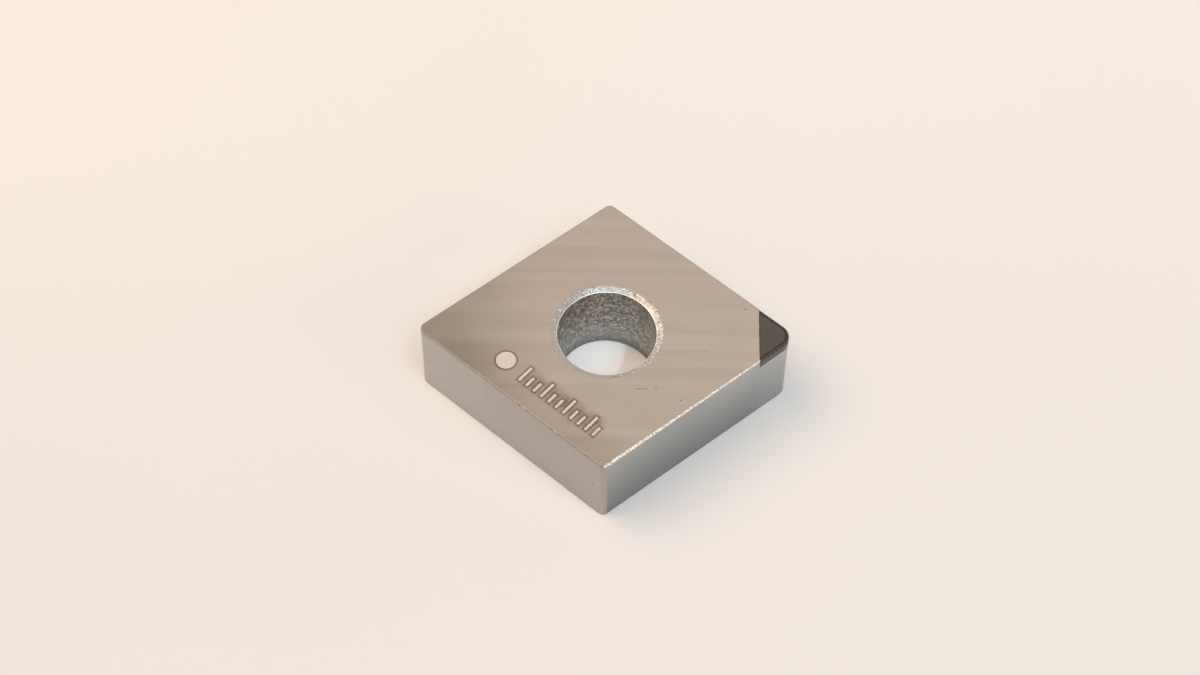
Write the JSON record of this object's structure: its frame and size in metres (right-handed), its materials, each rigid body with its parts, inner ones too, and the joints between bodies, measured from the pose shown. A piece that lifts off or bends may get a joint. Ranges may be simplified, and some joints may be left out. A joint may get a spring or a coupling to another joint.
{
  "type": "turning insert",
  "caption": "Rhombic turning insert: a ground carbide body with a chamfered clamp bore and a brazed cubic boron nitride cutting tip at an acute corner.",
  "frame": {"origin": "on the axis of the clamp bore, at the seat face that the insert lies on", "axes": "+Z along the bore from the seat face to the top face, +X towards the cutting corner along the long diagonal, +Y towards a blunt corner"},
  "size_m": [0.0191, 0.0164, 0.0048],
  "materials": {
    "ground_carbide": "finely ground cemented carbide, warm grey, with a darker as-sintered bore wall",
    "boron_nitride": "dark brown-grey satin, finely ground and honed",
    "braze_filler": "thin ground line of silver braze"
  },
  "bodies": {
    "root": {"carbide_body": "ground_carbide", "cbn_tip": "boron_nitride", "braze_layer": "braze_filler"}
  },
  "joints": []
}
